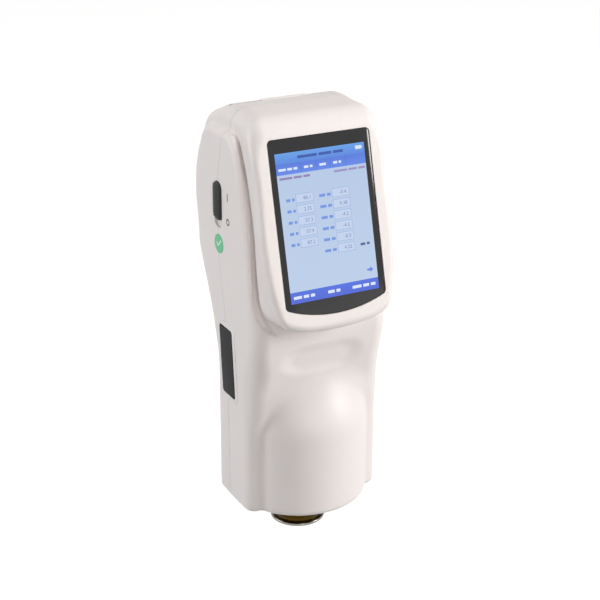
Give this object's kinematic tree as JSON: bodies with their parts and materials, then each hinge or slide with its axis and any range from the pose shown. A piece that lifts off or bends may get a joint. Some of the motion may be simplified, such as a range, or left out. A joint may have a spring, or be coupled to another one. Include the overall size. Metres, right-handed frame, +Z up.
{
  "type": "portable spectrophotometer",
  "caption": "Hand-held colour meter with a tilted touch screen over a grip and a domed foot, standing on its round measuring ring.",
  "frame": {"origin": "centre of the measuring port, in the ring's face that rests on the sample", "axes": "+Z up along the port's axis, -Y towards the screen, +X to the right as the screen is read"},
  "size_m": [0.0792, 0.0906, 0.231],
  "materials": {
    "casing": "satin moulded ABS",
    "window": "dark-tinted cover glass",
    "display": "lit liquid crystal panel",
    "foam": "closed-cell foam",
    "steel": "zinc-plated",
    "flex": "polyimide film",
    "chrome": "polished",
    "bronze": "dark bronze",
    "diffuser": "diffuse white",
    "board": "solder mask",
    "lamp": "clear encapsulated",
    "lens": "polished",
    "black_metal": "black anodised",
    "mirror": "aluminised",
    "component": "moulded packages",
    "inner_plastic": "moulded ABS",
    "battery": "shrink-wrapped",
    "contact": "gold flashed",
    "black_plastic": "fine texture",
    "key": "satin",
    "rubber": "soft, matte",
    "seal": "gloss label"
  },
  "bodies": {
    "housing": {"front_shell": "casing", "rear_shell": "casing", "casing_screws": "steel", "touch_window": "window", "display_module": "display", "display_gasket": "foam", "display_bracket": "steel", "display_cable": "flex", "small_screws": "steel", "aperture_plate": "chrome", "aperture_neck": "bronze", "light_cone": "diffuser", "sphere_lower": "diffuser", "sphere_upper": "diffuser", "lamp_board": "board", "lamps": "lamp", "lens_barrel": "black_metal", "collector_lens": "lens", "spectrometer_housing": "black_metal", "spectrometer_lid": "black_metal", "slit_plate": "steel", "mirror_block": "mirror", "grating": "lens", "sensor_board": "board", "line_sensor": "component", "optics_chassis": "steel", "main_board": "board", "board_components": "component", "buzzer": "component", "board_screws": "steel", "battery_tray": "inner_plastic", "battery_contacts": "contact", "battery_pack": "battery", "slide_switch": "component", "measure_switch": "component", "button_board": "board", "port_frame": "casing", "interface_board": "board", "usb_socket": "steel", "power_jack": "component", "seal_sticker": "seal"},
    "power_slider": {"power_slider": "black_plastic"},
    "measure_button": {"measure_button": "key", "switch_plunger": "key"},
    "port_cover": {"port_cover": "rubber"},
    "battery_door": {"battery_door": "casing"}
  },
  "joints": [
    {"name": "power_slide", "type": "slide", "parent": "housing", "child": "power_slider", "axis": [0, 0, 1], "range_m": [-0.0037, 0]},
    {"name": "measure_press", "type": "slide", "parent": "housing", "child": "measure_button", "axis": [-1, 0, 0], "range_m": [0, 0.0008], "stiffness_N_per_m": 2500},
    {"name": "port_cover_flap", "type": "hinge", "parent": "housing", "child": "port_cover", "pos_m": [-0.039, 0.0027, 0.079], "axis": [0, -1, 0], "range_deg": [0, 110]},
    {"name": "battery_door_hinge", "type": "hinge", "parent": "housing", "child": "battery_door", "pos_m": [0, 0.0465, 0.15], "axis": [-1, 0, 0], "range_deg": [0, 40]}
  ]
}
